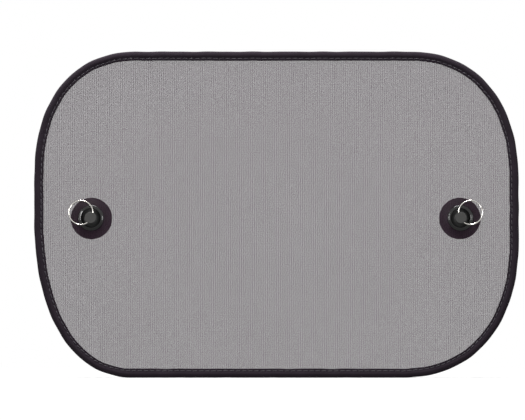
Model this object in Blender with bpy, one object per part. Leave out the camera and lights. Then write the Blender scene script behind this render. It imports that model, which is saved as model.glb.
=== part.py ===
# Car side window sunshade: a knitted mesh panel that a sprung wire hoop holds flat inside a sewn
# tape binding, with two suction cups that hold it against the glass. Each cup's knob comes through
# a lined hole in the mesh, and a split ring through the knob keeps it there.
#
# The frame: X is the width, Z is the height, and the middle plane of the mesh is Y = 0. The viewer
# in the car stands on the -Y side and the window glass is on the +Y side. Sizes are millimetres
# and are turned to metres where a mesh is made.

import math

import bmesh
import bpy
import numpy as np
from mathutils import Matrix, Vector

MM = 0.001

# The shade's outer edge: a rectangle with a long curve at each corner, as a sprung hoop takes.
# Each corner is a quarter of a superellipse that starts this far along its two sides.
WIDTH = 500.0
HEIGHT = 337.0
CORNER_RUNS = {
    "top_right": (115.0, 136.0),
    "top_left": (108.0, 131.0),
    "bottom_left": (106.0, 172.0),
    "bottom_right": (124.0, 147.0),
}
CORNER_POWER = 2.3
CORNER_STEPS = 10

# The gap that two pieces keep where they touch.
TOUCH = 0.3

# The hoop of spring wire, and the crimped sleeve over its two ends.
WIRE_RADIUS = 0.9
WIRE_END_GAP = 2.0
FERRULE_FIT = 0.2
FERRULE_WALL = 0.4
FERRULE_LENGTH = 32.0
FERRULE_HEIGHT = 0.0

# The mesh panel: a thin sheet with upright ribs, as the wales of a knit, and a grid of gaps.
PANEL_THICKNESS = 0.8
RIB_HEIGHT = 0.25
RIB_PITCH = 20.0
PANEL_INSET = 5.2
GAP_WIDTH = 18.0
GAP_LENGTH = 23.0
GAP_COLUMNS = 12
GAP_ROWS = 9
GAP_COLUMN_RIBS = 2
GAP_ROW_PITCH = 32.0
GAP_MARGIN = 2.0

# The binding: a tape folded round the wire and down both faces of the mesh.
TAPE_THICKNESS = 0.65
BINDING_WIDTH = 9.4

# The two cups stand this far in from the ends of the shade, a little below the centre line, and
# the pair is sewn in a little to the left of the middle.
CUP_FROM_END = 59.5
CUP_SHIFT = -0.8
CUP_HEIGHT = -4.0

# The eyelet that lines each hole of the mesh.
EYELET_BORE_RADIUS = 9.7
EYELET_RADIUS = 13.2
EYELET_FLANGE = 1.2
EYELET_LIP_WALL = 1.0
EYELET_BEAD_RADIUS = 1.2
EYELET_FLANGE_STEP = 0.45

# The suction cup: a knob, a short waist and a dish.
KNOB_RADIUS = 6.0
KNOB_TOP_CAP = 2.3
KNOB_BASE_CAP = 0.6
KNOB_ROUND = 0.7
KNOB_ROUND_SHARE = 0.35
WAIST_RADIUS = 4.3
DISH_RADIUS = 21.5
DISH_RIM_WIDTH = 1.3
DISH_DROP = 5.95
DISH_POWER = 1.9
DISH_START_SLOPE = 0.9
DISH_EDGE_WALL = 0.5
CROWN_WALL = 1.8
CROWN_RISE = 2.2
WAIST_FLARES = ((0.1, 1.0), (1.2, 0.7))

# The split ring: two turns of round steel wire, side by side, with a step between the turns.
RING_WIRE_RADIUS = 0.65
RING_RADIUS = 12.35
RING_TURN_PITCH = 1.4
RING_TURNS = 1.84
RING_STEP_FROM = 318.0
RING_STEP_TO = 352.0
RING_START_ANGLE = 118.0
RING_POINTS_PER_TURN = 24
RING_LEAN = 61.4
RING_HOLE_FIT = 0.32

SWEEP_SIDES = 8
NOSE_ANGLES = (42.0, 85.0, 128.0, 166.0)
CHANNEL_ANGLES = (67.5, 112.5, 157.5)
EYELET_BEAD_ANGLES = (38.0, 90.0, 140.0, 180.0)
DISH_SHARES = (1 / 3, 2 / 3)
HOLLOW_SHARES = (0.85, 0.6, 0.3)
TURN_STEPS = 28
HOLE_SIDES = 16

# What follows from the sizes above.
CUP_OFFSET = WIDTH / 2 - CUP_FROM_END
PANEL_HALF = PANEL_THICKNESS / 2 + RIB_HEIGHT
FERRULE_RADIUS = WIRE_RADIUS + FERRULE_FIT + FERRULE_WALL
CHANNEL_RADIUS = FERRULE_RADIUS + TOUCH
NOSE_RADIUS = CHANNEL_RADIUS + TAPE_THICKNESS
EYELET_HALF = PANEL_HALF + TOUCH + EYELET_FLANGE
PANEL_CUT_DEPTH = 4 * PANEL_HALF
KNOB_CUT_LENGTH = 3 * KNOB_RADIUS
PANEL_HOLE_RADIUS = EYELET_BORE_RADIUS + EYELET_LIP_WALL + TOUCH
RING_HALF = RING_WIRE_RADIUS + RING_TURN_PITCH / 2
RING_Y = -(EYELET_HALF + TOUCH + RING_HALF)
CUP_SIDES = {"left": -1, "right": 1}


def clear_scene():
    for obj in list(bpy.data.objects):
        bpy.data.objects.remove(obj, do_unlink=True)


def material(name, colour, roughness, metallic=0.0):
    made = bpy.data.materials.new(name)
    made.use_nodes = True
    shader = made.node_tree.nodes["Principled BSDF"]
    shader.inputs["Base Color"].default_value = (*colour, 1.0)
    shader.inputs["Roughness"].default_value = roughness
    shader.inputs["Metallic"].default_value = metallic
    return made


def add_object(name, mesh, finish, smooth_angle=35.0):
    if finish:
        mesh.materials.append(finish)
    mesh.shade_smooth()
    mesh.set_sharp_from_angle(angle=math.radians(smooth_angle))
    made = bpy.data.objects.new(name, mesh)
    bpy.context.collection.objects.link(made)
    return made


def mesh_from(name, shape):
    bmesh.ops.remove_doubles(shape, verts=shape.verts, dist=1e-6)
    bmesh.ops.recalc_face_normals(shape, faces=shape.faces)
    mesh = bpy.data.meshes.new(name)
    shape.to_mesh(mesh)
    shape.free()
    return mesh


def hide_cutter(cutter):
    cutter.hide_render = True
    cutter.display_type = "WIRE"
    return cutter


def cut(obj, cutter, operation="DIFFERENCE"):
    step = obj.modifiers.new(cutter.name, "BOOLEAN")
    step.operation = operation
    step.solver = "EXACT"
    step.object = cutter


def outer_edge():
    """The points of the shade's outer edge in the XZ plane, anticlockwise seen from the viewer,
    with the outward normal at each. It starts in the middle of the right side."""
    turns = [
        ("top_right", 1, 1),
        ("top_left", -1, 1),
        ("bottom_left", -1, -1),
        ("bottom_right", 1, -1),
    ]
    points = [Vector((WIDTH / 2, FERRULE_HEIGHT))]
    normals = [Vector((1.0, 0.0))]
    for index, (corner, side_x, side_z) in enumerate(turns):
        run_x, run_z = CORNER_RUNS[corner]
        centre = Vector((side_x * (WIDTH / 2 - run_x), side_z * (HEIGHT / 2 - run_z)))
        steps = range(CORNER_STEPS + 1)
        for step in steps if index % 2 == 0 else reversed(steps):
            angle = math.pi / 2 * step / CORNER_STEPS
            across = math.cos(angle) ** (2 / CORNER_POWER)
            up = math.sin(angle) ** (2 / CORNER_POWER)
            points.append(centre + Vector((side_x * run_x * across, side_z * run_z * up)))
            slope = CORNER_POWER - 1
            normal = Vector((side_x * across**slope / run_x, side_z * up**slope / run_z))
            normals.append(normal.normalized())
    return points, normals


EDGE, EDGE_NORMALS = outer_edge()


def inset(distance):
    """The outer edge moved inwards by a distance."""
    return [point - normal * distance for point, normal in zip(EDGE, EDGE_NORMALS)]


def ring_of_verts(shape, point, normal, section):
    """One cross-section of a sweep. In it, u runs inwards from the outer edge and v along Y."""
    made = []
    for u, v in section:
        place = point - normal * u
        made.append(shape.verts.new(Vector((place.x, v, place.y)) * MM))
    return made


def sweep(name, points, normals, section, closed):
    """A closed section carried along a line of points in the XZ plane."""
    shape = bmesh.new()
    rings = [ring_of_verts(shape, p, n, section) for p, n in zip(points, normals)]
    pairs = list(zip(rings, rings[1:]))
    if closed:
        pairs.append((rings[-1], rings[0]))
    else:
        shape.faces.new(rings[0])
        shape.faces.new(rings[-1])
    count = len(section)
    for first, second in pairs:
        for i in range(count):
            j = (i + 1) % count
            shape.faces.new((first[i], first[j], second[j], second[i]))
    return mesh_from(name, shape)


def circle(centre_u, radius, sides):
    """A circular section, with flats facing along and across so that it nests in its neighbours."""
    turn = 2 * math.pi / sides
    return [
        (centre_u + radius * math.cos(turn * (k + 0.5)), radius * math.sin(turn * (k + 0.5)))
        for k in range(sides)
    ]


def turned(name, profile, steps):
    """A profile of (radius, y) turned round the Y axis. A profile that touches the axis at both
    ends makes a solid disc, and a closed one makes a ring."""
    shape = bmesh.new()
    verts = [shape.verts.new(Vector((radius, y, 0.0)) * MM) for radius, y in profile]
    edges = [shape.edges.new(pair) for pair in zip(verts, verts[1:])]
    if profile[0][0] > 0:
        edges.append(shape.edges.new((verts[-1], verts[0])))
    bmesh.ops.spin(
        shape,
        geom=verts + edges,
        cent=(0, 0, 0),
        axis=(0, 1, 0),
        angle=2 * math.pi,
        steps=steps,
        use_merge=True,
    )
    return mesh_from(name, shape)


def cup_place(side):
    return Vector((CUP_SIDES[side] * CUP_OFFSET + CUP_SHIFT, 0.0, CUP_HEIGHT))


def prism(name, outline, half_depth):
    """A flat outline in the XZ plane, extruded to both sides of the mesh plane."""
    shape = bmesh.new()
    back = [shape.verts.new(Vector((p.x, half_depth, p.y)) * MM) for p in outline]
    face = shape.faces.new(back)
    grown = bmesh.ops.extrude_face_region(shape, geom=[face])
    front = [item for item in grown["geom"] if isinstance(item, bmesh.types.BMVert)]
    bmesh.ops.translate(shape, verts=front, vec=(0.0, -2 * half_depth * MM, 0.0))
    return mesh_from(name, shape)


def ribbed_slab():
    """A slab with an upright rib on both faces at every rib pitch, larger than the panel."""
    half_pitch = RIB_PITCH / 2
    ribs = math.ceil((WIDTH / 2) / half_pitch)
    shape = bmesh.new()
    lines = {}
    for k in range(-ribs, ribs + 1):
        depth = PANEL_HALF if k % 2 == 0 else PANEL_THICKNESS / 2
        for face in (-1, 1):
            for end in (-1, 1):
                place = Vector((k * half_pitch, face * depth, end * HEIGHT / 2)) * MM
                lines[k, face, end] = shape.verts.new(place)
    for k in range(-ribs, ribs):
        for face in (-1, 1):
            corners = [(k, face, -1), (k + 1, face, -1), (k + 1, face, 1), (k, face, 1)]
            shape.faces.new([lines[corner] for corner in corners])
        for end in (-1, 1):
            corners = [(k, -1, end), (k + 1, -1, end), (k + 1, 1, end), (k, 1, end)]
            shape.faces.new([lines[corner] for corner in corners])
    for k in (-ribs, ribs):
        corners = [(k, -1, -1), (k, 1, -1), (k, 1, 1), (k, -1, 1)]
        shape.faces.new([lines[corner] for corner in corners])
    return mesh_from("mesh_panel", shape)


def inside(point, outline):
    """True if a point lies inside a closed outline."""
    crossings = 0
    for a, b in zip(outline, outline[1:] + outline[:1]):
        if (a.y > point.y) != (b.y > point.y):
            crossings += point.x < a.x + (b.x - a.x) * (point.y - a.y) / (b.y - a.y)
    return crossings % 2 == 1


def clear_of_cups(x, z):
    """True if a gap with its middle there stays off both eyelets."""
    for side in CUP_SIDES:
        cup = cup_place(side)
        off_x = max(0.0, abs(x - cup.x) - GAP_WIDTH / 2)
        off_z = max(0.0, abs(z - cup.z) - GAP_LENGTH / 2)
        if math.hypot(off_x, off_z) < EYELET_RADIUS + GAP_MARGIN:
            return False
    return True


def gap_places():
    """The middles of the gaps: an even grid, without those that would meet an eyelet or reach
    under the binding."""
    outline = inset(BINDING_WIDTH + GAP_MARGIN)
    corners = [Vector((i * GAP_WIDTH / 2, j * GAP_LENGTH / 2)) for i in (-1, 1) for j in (-1, 1)]
    places = []
    for column in range(GAP_COLUMNS):
        x = (column - (GAP_COLUMNS - 1) / 2) * GAP_COLUMN_RIBS * RIB_PITCH
        for row in range(GAP_ROWS):
            z = (row - (GAP_ROWS - 1) / 2) * GAP_ROW_PITCH
            in_outline = all(inside(Vector((x, z)) + corner, outline) for corner in corners)
            if in_outline and clear_of_cups(x, z):
                places.append(Vector((x, 0.0, z)))
    return places


def gap_cutter():
    shape = bmesh.new()
    size = Vector((GAP_WIDTH, PANEL_CUT_DEPTH, GAP_LENGTH)) * MM
    for middle in gap_places():
        place = Matrix.Translation(middle * MM) @ Matrix.Diagonal((*size, 1.0))
        bmesh.ops.create_cube(shape, size=1.0, matrix=place)
    return hide_cutter(add_object("gap_cutter", mesh_from("gap_cutter", shape), None))


def hole_cutter():
    shape = bmesh.new()
    for side in CUP_SIDES:
        place = Matrix.Translation(cup_place(side) * MM) @ Matrix.Rotation(math.pi / 2, 4, "X")
        bmesh.ops.create_cone(
            shape,
            cap_ends=True,
            segments=TURN_STEPS,
            radius1=PANEL_HOLE_RADIUS * MM,
            radius2=PANEL_HOLE_RADIUS * MM,
            depth=PANEL_CUT_DEPTH * MM,
            matrix=place,
        )
    return hide_cutter(add_object("cup_hole_cutter", mesh_from("cup_hole_cutter", shape), None))


def build_panel(finish):
    panel = add_object("mesh_panel", ribbed_slab(), finish)
    outline = prism("panel_outline", inset(PANEL_INSET), 2 * PANEL_HALF)
    cut(panel, hide_cutter(add_object("panel_outline", outline, None)), "INTERSECT")
    cut(panel, hole_cutter())
    cut(panel, gap_cutter())
    return panel


def arc(centre_u, radius, angles):
    """Points of a round section, by their angles from the inward direction."""
    turns = [math.radians(angle) for angle in angles]
    return [(centre_u + radius * math.cos(turn), radius * math.sin(turn)) for turn in turns]


def binding_section():
    """The folded tape: a round nose over the wire's channel, then two flaps with the mesh
    between them. It runs from one flap's edge round the outside to the other, then back inside."""
    slot_half = PANEL_HALF + TOUCH
    hem_half = slot_half + TAPE_THICKNESS
    outside = [(BINDING_WIDTH, hem_half)]
    outside += arc(NOSE_RADIUS, NOSE_RADIUS, NOSE_ANGLES)
    throat = math.sqrt(CHANNEL_RADIUS**2 - slot_half**2)
    inside = [(BINDING_WIDTH, slot_half), (NOSE_RADIUS + throat, slot_half)]
    inside += arc(NOSE_RADIUS, CHANNEL_RADIUS, CHANNEL_ANGLES)
    front = [(u, -v) for u, v in outside]
    hollow = inside + [(u, -v) for u, v in reversed(inside)]
    return outside + list(reversed(front)) + list(reversed(hollow))


def build_binding(finish):
    mesh = sweep("edge_binding", EDGE, EDGE_NORMALS, binding_section(), closed=True)
    return add_object("edge_binding", mesh, finish)


def side_run(height):
    """A point on the straight right side, and the outward normal there."""
    return Vector((WIDTH / 2, height)), Vector((1.0, 0.0))


def build_wire(finish):
    """The wire starts and ends on the right side, in the ferrule."""
    start = side_run(FERRULE_HEIGHT + WIRE_END_GAP / 2)
    end = side_run(FERRULE_HEIGHT - WIRE_END_GAP / 2)
    points = [start[0]] + EDGE[1:] + [end[0]]
    normals = [start[1]] + EDGE_NORMALS[1:] + [end[1]]
    section = circle(NOSE_RADIUS, WIRE_RADIUS, SWEEP_SIDES)
    mesh = sweep("hoop_wire", points, normals, section, closed=False)
    return add_object("hoop_wire", mesh, finish)


def build_ferrule(finish):
    """A tube whose profile is turned round an axis that is upright, over the wire's two ends."""
    inner = WIRE_RADIUS + FERRULE_FIT
    ends = (-FERRULE_LENGTH / 2, FERRULE_LENGTH / 2)
    profile = [(inner, ends[0]), (FERRULE_RADIUS, ends[0]), (FERRULE_RADIUS, ends[1]), (inner, ends[1])]
    mesh = turned("wire_ferrule", profile, SWEEP_SIDES * 2)
    upright = Matrix.Rotation(math.pi / 2, 4, "X")
    place = Vector((WIDTH / 2 - NOSE_RADIUS, 0.0, FERRULE_HEIGHT)) * MM
    mesh.transform(Matrix.Translation(place) @ upright)
    return add_object("wire_ferrule", mesh, finish)


def build_eyelet(side, finish):
    """A ring with a groove round it that holds the edge of the mesh. Each face has a flange and,
    next to the bore, a round bead that stands higher."""
    groove = PANEL_HALF + TOUCH
    step = EYELET_HALF - EYELET_FLANGE_STEP
    bead_middle = EYELET_BORE_RADIUS + EYELET_BEAD_RADIUS
    bead_level = EYELET_HALF - EYELET_BEAD_RADIUS
    outer = [
        (EYELET_BORE_RADIUS + EYELET_LIP_WALL, groove),
        (EYELET_RADIUS, groove),
        (EYELET_RADIUS, step),
    ]
    for angle in EYELET_BEAD_ANGLES:
        turn = math.radians(angle)
        radius = bead_middle + EYELET_BEAD_RADIUS * math.cos(turn)
        outer.append((radius, bead_level + EYELET_BEAD_RADIUS * math.sin(turn)))
    profile = outer + [(radius, -y) for radius, y in reversed(outer)]
    eyelet = add_object(side + "_eyelet", turned(side + "_eyelet", profile, TURN_STEPS), finish)
    eyelet.location = cup_place(side) * MM
    return eyelet


def cup_profile():
    """Half of the cup's section as (radius, y), from the middle of the knob's front round the
    outside of the dish to the middle of its hollow."""
    knob_front = RING_Y - ring_hole_radius() - KNOB_TOP_CAP
    knob_back = RING_Y + ring_hole_radius() + KNOB_BASE_CAP
    crown_y = EYELET_HALF + TOUCH
    rim_y = crown_y + DISH_DROP
    crown_radius = EYELET_BORE_RADIUS
    round_step = KNOB_ROUND * KNOB_ROUND_SHARE
    outside = [
        (0.0, knob_front),
        (KNOB_RADIUS - KNOB_ROUND, knob_front),
        (KNOB_RADIUS - round_step, knob_front + round_step),
        (KNOB_RADIUS, knob_front + KNOB_ROUND),
        (KNOB_RADIUS, knob_back - KNOB_BASE_CAP),
        (WAIST_RADIUS, knob_back),
    ]
    for flare, share in WAIST_FLARES:
        outside.append((WAIST_RADIUS + flare, crown_y - CROWN_RISE * share))
    outside.append((crown_radius, crown_y))
    for share in DISH_SHARES:
        radius = crown_radius + (DISH_RADIUS - crown_radius) * share
        slope = DISH_START_SLOPE + (1 - DISH_START_SLOPE) * share
        outside.append((radius, crown_y + DISH_DROP * share * slope))
    outside.append((DISH_RADIUS - DISH_EDGE_WALL, rim_y - DISH_EDGE_WALL))
    outside.append((DISH_RADIUS, rim_y))
    inner_radius = DISH_RADIUS - DISH_RIM_WIDTH
    hollow_y = crown_y + CROWN_WALL
    inside = [(inner_radius, rim_y)]
    for share in HOLLOW_SHARES:
        rise = (rim_y - hollow_y) * share**DISH_POWER
        inside.append((inner_radius * share, hollow_y + rise))
    inside.append((0.0, hollow_y))
    return outside + inside


def ring_bow():
    """How far the split ring bows over the length of the hole through the knob."""
    return RING_RADIUS - math.sqrt(RING_RADIUS**2 - KNOB_RADIUS**2)


def ring_hole_radius():
    return math.hypot(RING_WIRE_RADIUS + ring_bow() / 2, RING_HALF) + RING_HOLE_FIT


def hole_direction(side):
    """The direction of the hole through the knob, which is the split ring's hinge axis."""
    lean = math.radians(RING_LEAN)
    return Vector((math.cos(lean), 0.0, -CUP_SIDES[side] * math.sin(lean)))


def ring_direction(side):
    """The direction from the knob to the middle of its split ring at rest: up and outwards."""
    lean = math.radians(RING_LEAN)
    return Vector((CUP_SIDES[side] * math.sin(lean), 0.0, math.cos(lean)))


def build_cup(side, finish):
    name = side + "_suction_cup"
    cup = add_object(name, turned(name, cup_profile(), TURN_STEPS), finish)
    cup.location = cup_place(side) * MM
    shape = bmesh.new()
    aim = hole_direction(side).to_track_quat("Z", "Y").to_matrix().to_4x4()
    place = Matrix.Translation((cup_place(side) + Vector((0.0, RING_Y, 0.0))) * MM) @ aim
    bmesh.ops.create_cone(
        shape,
        cap_ends=True,
        segments=HOLE_SIDES,
        radius1=ring_hole_radius() * MM,
        radius2=ring_hole_radius() * MM,
        depth=KNOB_CUT_LENGTH * MM,
        matrix=place,
    )
    cutter = side + "_knob_hole_cutter"
    cut(cup, hide_cutter(add_object(cutter, mesh_from(cutter, shape), None)))
    return cup


def ring_route(side):
    """The middle line of the split ring's wire: flat in one plane, a step to the next plane, then
    flat in that plane. The angles count round the ring from its free end."""
    away = RING_RADIUS - ring_bow() / 2
    centre = cup_place(side) + ring_direction(side) * away
    route = []
    for k in range(round(RING_POINTS_PER_TURN * RING_TURNS) + 1):
        along = 360.0 * k / RING_POINTS_PER_TURN
        share = np.clip((along - RING_STEP_FROM) / (RING_STEP_TO - RING_STEP_FROM), 0.0, 1.0)
        step = (share * share * (3 - 2 * share) - 0.5) * RING_TURN_PITCH
        angle = math.radians(RING_START_ANGLE - along)
        out = Vector((-CUP_SIDES[side] * math.cos(angle), 0.0, math.sin(angle))) * RING_RADIUS
        route.append(centre + out + Vector((0.0, RING_Y + step, 0.0)))
    return route


def build_split_ring(side, finish):
    """The ring hangs on an empty that stands on its hinge axis, the hole through the knob."""
    name = side + "_split_ring"
    pivot = bpy.data.objects.new(side + "_ring_pivot", None)
    pivot.location = (cup_place(side) + Vector((0.0, RING_Y, 0.0))) * MM
    bpy.context.collection.objects.link(pivot)
    curve = bpy.data.curves.new(name, "CURVE")
    curve.dimensions = "3D"
    curve.bevel_depth = RING_WIRE_RADIUS * MM
    curve.bevel_resolution = 1
    curve.use_fill_caps = True
    route = ring_route(side)
    line = curve.splines.new("POLY")
    line.points.add(len(route) - 1)
    for point, place in zip(line.points, route):
        point.co = (*(place * MM - pivot.location), 1.0)
    curve.materials.append(finish)
    ring = bpy.data.objects.new(name, curve)
    bpy.context.collection.objects.link(ring)
    ring.parent = pivot
    return ring


def build():
    clear_scene()
    knit = material("knitted_polyester", (0.030, 0.026, 0.030), 0.85)
    tape = material("polyester_tape", (0.022, 0.019, 0.023), 0.8)
    spring_steel = material("spring_steel", (0.35, 0.35, 0.36), 0.35, 1.0)
    plastic = material("black_plastic", (0.020, 0.020, 0.020), 0.35)
    soft_pvc = material("black_soft_pvc", (0.015, 0.015, 0.015), 0.3)
    nickel = material("nickel_plate", (0.72, 0.71, 0.69), 0.18, 1.0)
    build_panel(knit)
    build_binding(tape)
    build_wire(spring_steel)
    build_ferrule(spring_steel)
    for side in CUP_SIDES:
        build_eyelet(side, plastic)
        build_cup(side, soft_pvc)
        build_split_ring(side, nickel)


build()
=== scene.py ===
# %% [markdown]
# A car side window sunshade: a fine knitted mesh that a sprung steel hoop holds flat, a woven tape
# sewn round the hoop, and two soft suction cups with steel split rings. This lesson dresses the
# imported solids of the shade: it keeps their places and sizes, and gives every visible piece its
# real form and finish. All lengths are written in millimetres and turned to metres by MM.

# %% Load the solids
import functools
import math

import bmesh
import bpy
import numpy as np
from mathutils import Matrix, Vector
from mathutils.bvhtree import BVHTree


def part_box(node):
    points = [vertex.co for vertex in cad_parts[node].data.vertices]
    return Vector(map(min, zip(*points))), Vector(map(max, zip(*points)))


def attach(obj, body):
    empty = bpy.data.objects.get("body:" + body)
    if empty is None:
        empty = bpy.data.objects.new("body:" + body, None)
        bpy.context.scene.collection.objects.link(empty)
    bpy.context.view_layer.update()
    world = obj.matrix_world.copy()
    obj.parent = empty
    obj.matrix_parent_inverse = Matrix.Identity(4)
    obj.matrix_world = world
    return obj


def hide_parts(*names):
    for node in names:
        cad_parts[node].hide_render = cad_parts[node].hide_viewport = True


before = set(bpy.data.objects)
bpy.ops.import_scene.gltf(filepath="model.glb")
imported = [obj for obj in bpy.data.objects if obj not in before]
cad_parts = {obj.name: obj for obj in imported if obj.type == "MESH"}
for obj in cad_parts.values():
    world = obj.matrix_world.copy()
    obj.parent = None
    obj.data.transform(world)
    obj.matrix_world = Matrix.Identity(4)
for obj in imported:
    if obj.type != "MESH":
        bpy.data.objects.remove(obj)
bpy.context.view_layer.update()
MM = 0.001
print("nodes:", sorted(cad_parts))

# %% [markdown]
# The camera comes first. The product picture was taken from straight ahead with a long lens close
# to the table: each knob sits a little higher and further out than its dish, and the shadow on the
# table is a thin streak. So the camera stands three metres away, just above the floor, and looks up
# by three degrees. The focal length follows from how many millimetres one pixel covers.

# %% Camera
PICTURE = (525, 420)
MM_PER_PIXEL = 1.0316
SHADE_MIDDLE_PIXEL = (276.45, 214.2)
CAMERA_AWAY = 3000.0
CAMERA_LIFT = 14.0
SENSOR_WIDTH = 36.0

camera_data = bpy.data.cameras.new("camera")
camera_data.sensor_width = SENSOR_WIDTH
camera_data.lens = SENSOR_WIDTH * CAMERA_AWAY / (PICTURE[0] * MM_PER_PIXEL)
camera = bpy.data.objects.new("camera", camera_data)
bpy.context.collection.objects.link(camera)
camera_x = (PICTURE[0] / 2 - SHADE_MIDDLE_PIXEL[0]) * MM_PER_PIXEL
picture_middle_z = (SHADE_MIDDLE_PIXEL[1] - PICTURE[1] / 2) * MM_PER_PIXEL
floor_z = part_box("edge_binding")[0].z / MM
camera_z = floor_z + CAMERA_LIFT
look_up = math.asin((picture_middle_z - camera_z) / CAMERA_AWAY)
camera.location = Vector((camera_x, -CAMERA_AWAY * math.cos(look_up), camera_z)) * MM
camera.rotation_euler = (math.pi / 2 + look_up, 0.0, 0.0)
bpy.context.scene.camera = camera
bpy.context.scene.view_settings.view_transform = "Standard"
print(f"lens {camera_data.lens:.1f} mm, {math.degrees(look_up):.1f} degrees up")

# %% [markdown]
# Two helpers serve every material. Colours are written as a designer picks them, in sRGB hex, and
# the renderer works in linear light, so one function converts them. The other adds a shader node
# and fills in its settings, plain values and links in one call. A Mix node that is set to colours
# takes its two colours on sockets 6 and 7 and gives their mixture on output 2, so these get names.

# %% Material helpers
FIRST_COLOUR, SECOND_COLOUR, MIXED_COLOUR = 6, 7, 2


def linear(hex_colour):
    """An sRGB hex colour as linear red, green, blue and alpha."""
    parts = [int(hex_colour[i : i + 2], 16) / 255 for i in (1, 3, 5)]
    light = [p / 12.92 if p <= 0.04045 else ((p + 0.055) / 1.055) ** 2.4 for p in parts]
    return (*light, 1.0)


def add_node(tree, kind, inputs=None, **settings):
    """Adds a node. An input is a plain value, or the socket that feeds it."""
    made = tree.nodes.new(kind)
    for name, value in settings.items():
        setattr(made, name, value)
    for key, value in (inputs or {}).items():
        if isinstance(value, bpy.types.NodeSocket):
            tree.links.new(value, made.inputs[key])
        else:
            made.inputs[key].default_value = value
    return made


def new_material(name):
    material = bpy.data.materials.new(name)
    material.use_nodes = True
    material.node_tree.nodes.clear()
    return material, material.node_tree


# %% [markdown]
# The background of a packshot is pure white, but that white must not flood the object with light.
# The world therefore shows white only to rays that come straight from the camera, through glass or
# off a gloss surface, and lights everything else with a darker grey.

# %% World
STUDIO_GREY = 0.3


def seen_directly(tree):
    """1 for a ray from the camera, off a gloss surface or through glass, and 0 for the rest."""
    path = add_node(tree, "ShaderNodeLightPath")
    seen = path.outputs["Is Camera Ray"]
    for kind in ("Is Glossy Ray", "Is Transmission Ray"):
        both = add_node(
            tree, "ShaderNodeMath", {0: seen, 1: path.outputs[kind]}, operation="MAXIMUM"
        )
        seen = both.outputs[0]
    return seen


world = bpy.data.worlds.new("studio")
world.use_nodes = True
bpy.context.scene.world = world
tree = world.node_tree
tree.nodes.clear()
grey = add_node(tree, "ShaderNodeBackground", {"Color": (1, 1, 1, 1), "Strength": STUDIO_GREY})
white = add_node(tree, "ShaderNodeBackground", {"Color": (1, 1, 1, 1), "Strength": 1.0})
mixed = add_node(
    tree, "ShaderNodeMixShader", {0: seen_directly(tree), 1: grey.outputs[0], 2: white.outputs[0]}
)
add_node(tree, "ShaderNodeOutputWorld", {"Surface": mixed.outputs[0]})

# %% [markdown]
# A wide soft lamp high above gives the tape's rolled edge its light upper side and leaves its
# lower side dark. Two upright softboxes stand left and right of the camera: they light the faces
# that it sees, and the eyelets mirror them as bright arcs on their left and right sides, while
# the flat knobs mirror neither. Each line gives a lamp's place, its size and its power in watts.

# %% Lamps
LAMPS = {
    "top_softbox": ((-150.0, -150.0, 1300.0), (1100.0, 320.0), 56.0),
    "left_strip": ((-1500.0, -1500.0, 420.0), (330.0, 1100.0), 25.0),
    "right_strip": ((1500.0, -1500.0, 145.0), (300.0, 600.0), 11.0),
}
for name, (place, size, power) in LAMPS.items():
    data = bpy.data.lights.new(name, "AREA")
    data.shape = "RECTANGLE"
    data.size = size[0] * MM
    data.size_y = size[1] * MM
    data.energy = power
    lamp = bpy.data.objects.new(name, data)
    lamp.location = Vector(place) * MM
    lamp.rotation_euler = (-Vector(place)).to_track_quat("-Z", "Y").to_euler()
    bpy.context.collection.objects.link(lamp)

# %% [markdown]
# The shade stands on a white floor that has no edge in view. A grey paint alone would look grey
# far from the lamps and burnt out under them, so the floor also glows, and the glow at each place
# is whatever the studio's grey and the light of the top softbox leave short of white there. The
# lit floor is then just white all over, it meets the white background without a line, and only
# where the shade stands in the light does its shadow stay. Rays that don't come from the camera
# see a darker paint, so that little light comes back up from below.

# %% Floor
FLOOR_SIZE = 40000.0
FLOOR_PAINT = 0.28
FLOOR_BOUNCE = 0.06
TOP_PLACE, _, TOP_POWER = LAMPS["top_softbox"]
TOP_HEIGHT = TOP_PLACE[2] - floor_z
UNDER_TOP = TOP_POWER / (4 * math.pi) / (TOP_HEIGHT * MM) ** 2


def floor_paint():
    material, tree = new_material("white_floor_paint")
    place = add_node(tree, "ShaderNodeTexCoord").outputs["Object"]
    foot = (TOP_PLACE[0] * MM, TOP_PLACE[1] * MM, floor_z * MM)
    away = add_node(tree, "ShaderNodeVectorMath", {0: place, 1: foot}, operation="DISTANCE")
    slope = add_node(
        tree,
        "ShaderNodeMath",
        {0: away.outputs["Value"], 1: 1 / (TOP_HEIGHT * MM)},
        operation="MULTIPLY",
    )
    steep = add_node(tree, "ShaderNodeMath", {0: slope.outputs[0], 1: 2.0}, operation="POWER")
    past = add_node(tree, "ShaderNodeMath", {0: steep.outputs[0], 1: 1.0}, operation="ADD")
    fall = add_node(tree, "ShaderNodeMath", {0: past.outputs[0], 1: -2.0}, operation="POWER")
    short = add_node(
        tree,
        "ShaderNodeMath",
        {0: fall.outputs[0], 1: -FLOOR_PAINT * UNDER_TOP, 2: 1.0 - FLOOR_PAINT * STUDIO_GREY},
        operation="MULTIPLY_ADD",
    )
    glow = add_node(
        tree, "ShaderNodeMath", {0: seen_directly(tree), 1: short.outputs[0]}, operation="MULTIPLY"
    )
    own = add_node(tree, "ShaderNodeEmission", {"Color": (1, 1, 1, 1), "Strength": glow.outputs[0]})
    camera_ray = add_node(tree, "ShaderNodeLightPath").outputs["Is Camera Ray"]
    paint = add_node(
        tree,
        "ShaderNodeMapRange",
        {"Value": camera_ray, "To Min": FLOOR_BOUNCE, "To Max": FLOOR_PAINT},
    )
    lit = add_node(tree, "ShaderNodeBsdfDiffuse", {"Color": paint.outputs[0]})
    both = add_node(tree, "ShaderNodeAddShader", {0: own.outputs[0], 1: lit.outputs[0]})
    add_node(tree, "ShaderNodeOutputMaterial", {"Surface": both.outputs[0]})
    return material


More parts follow.
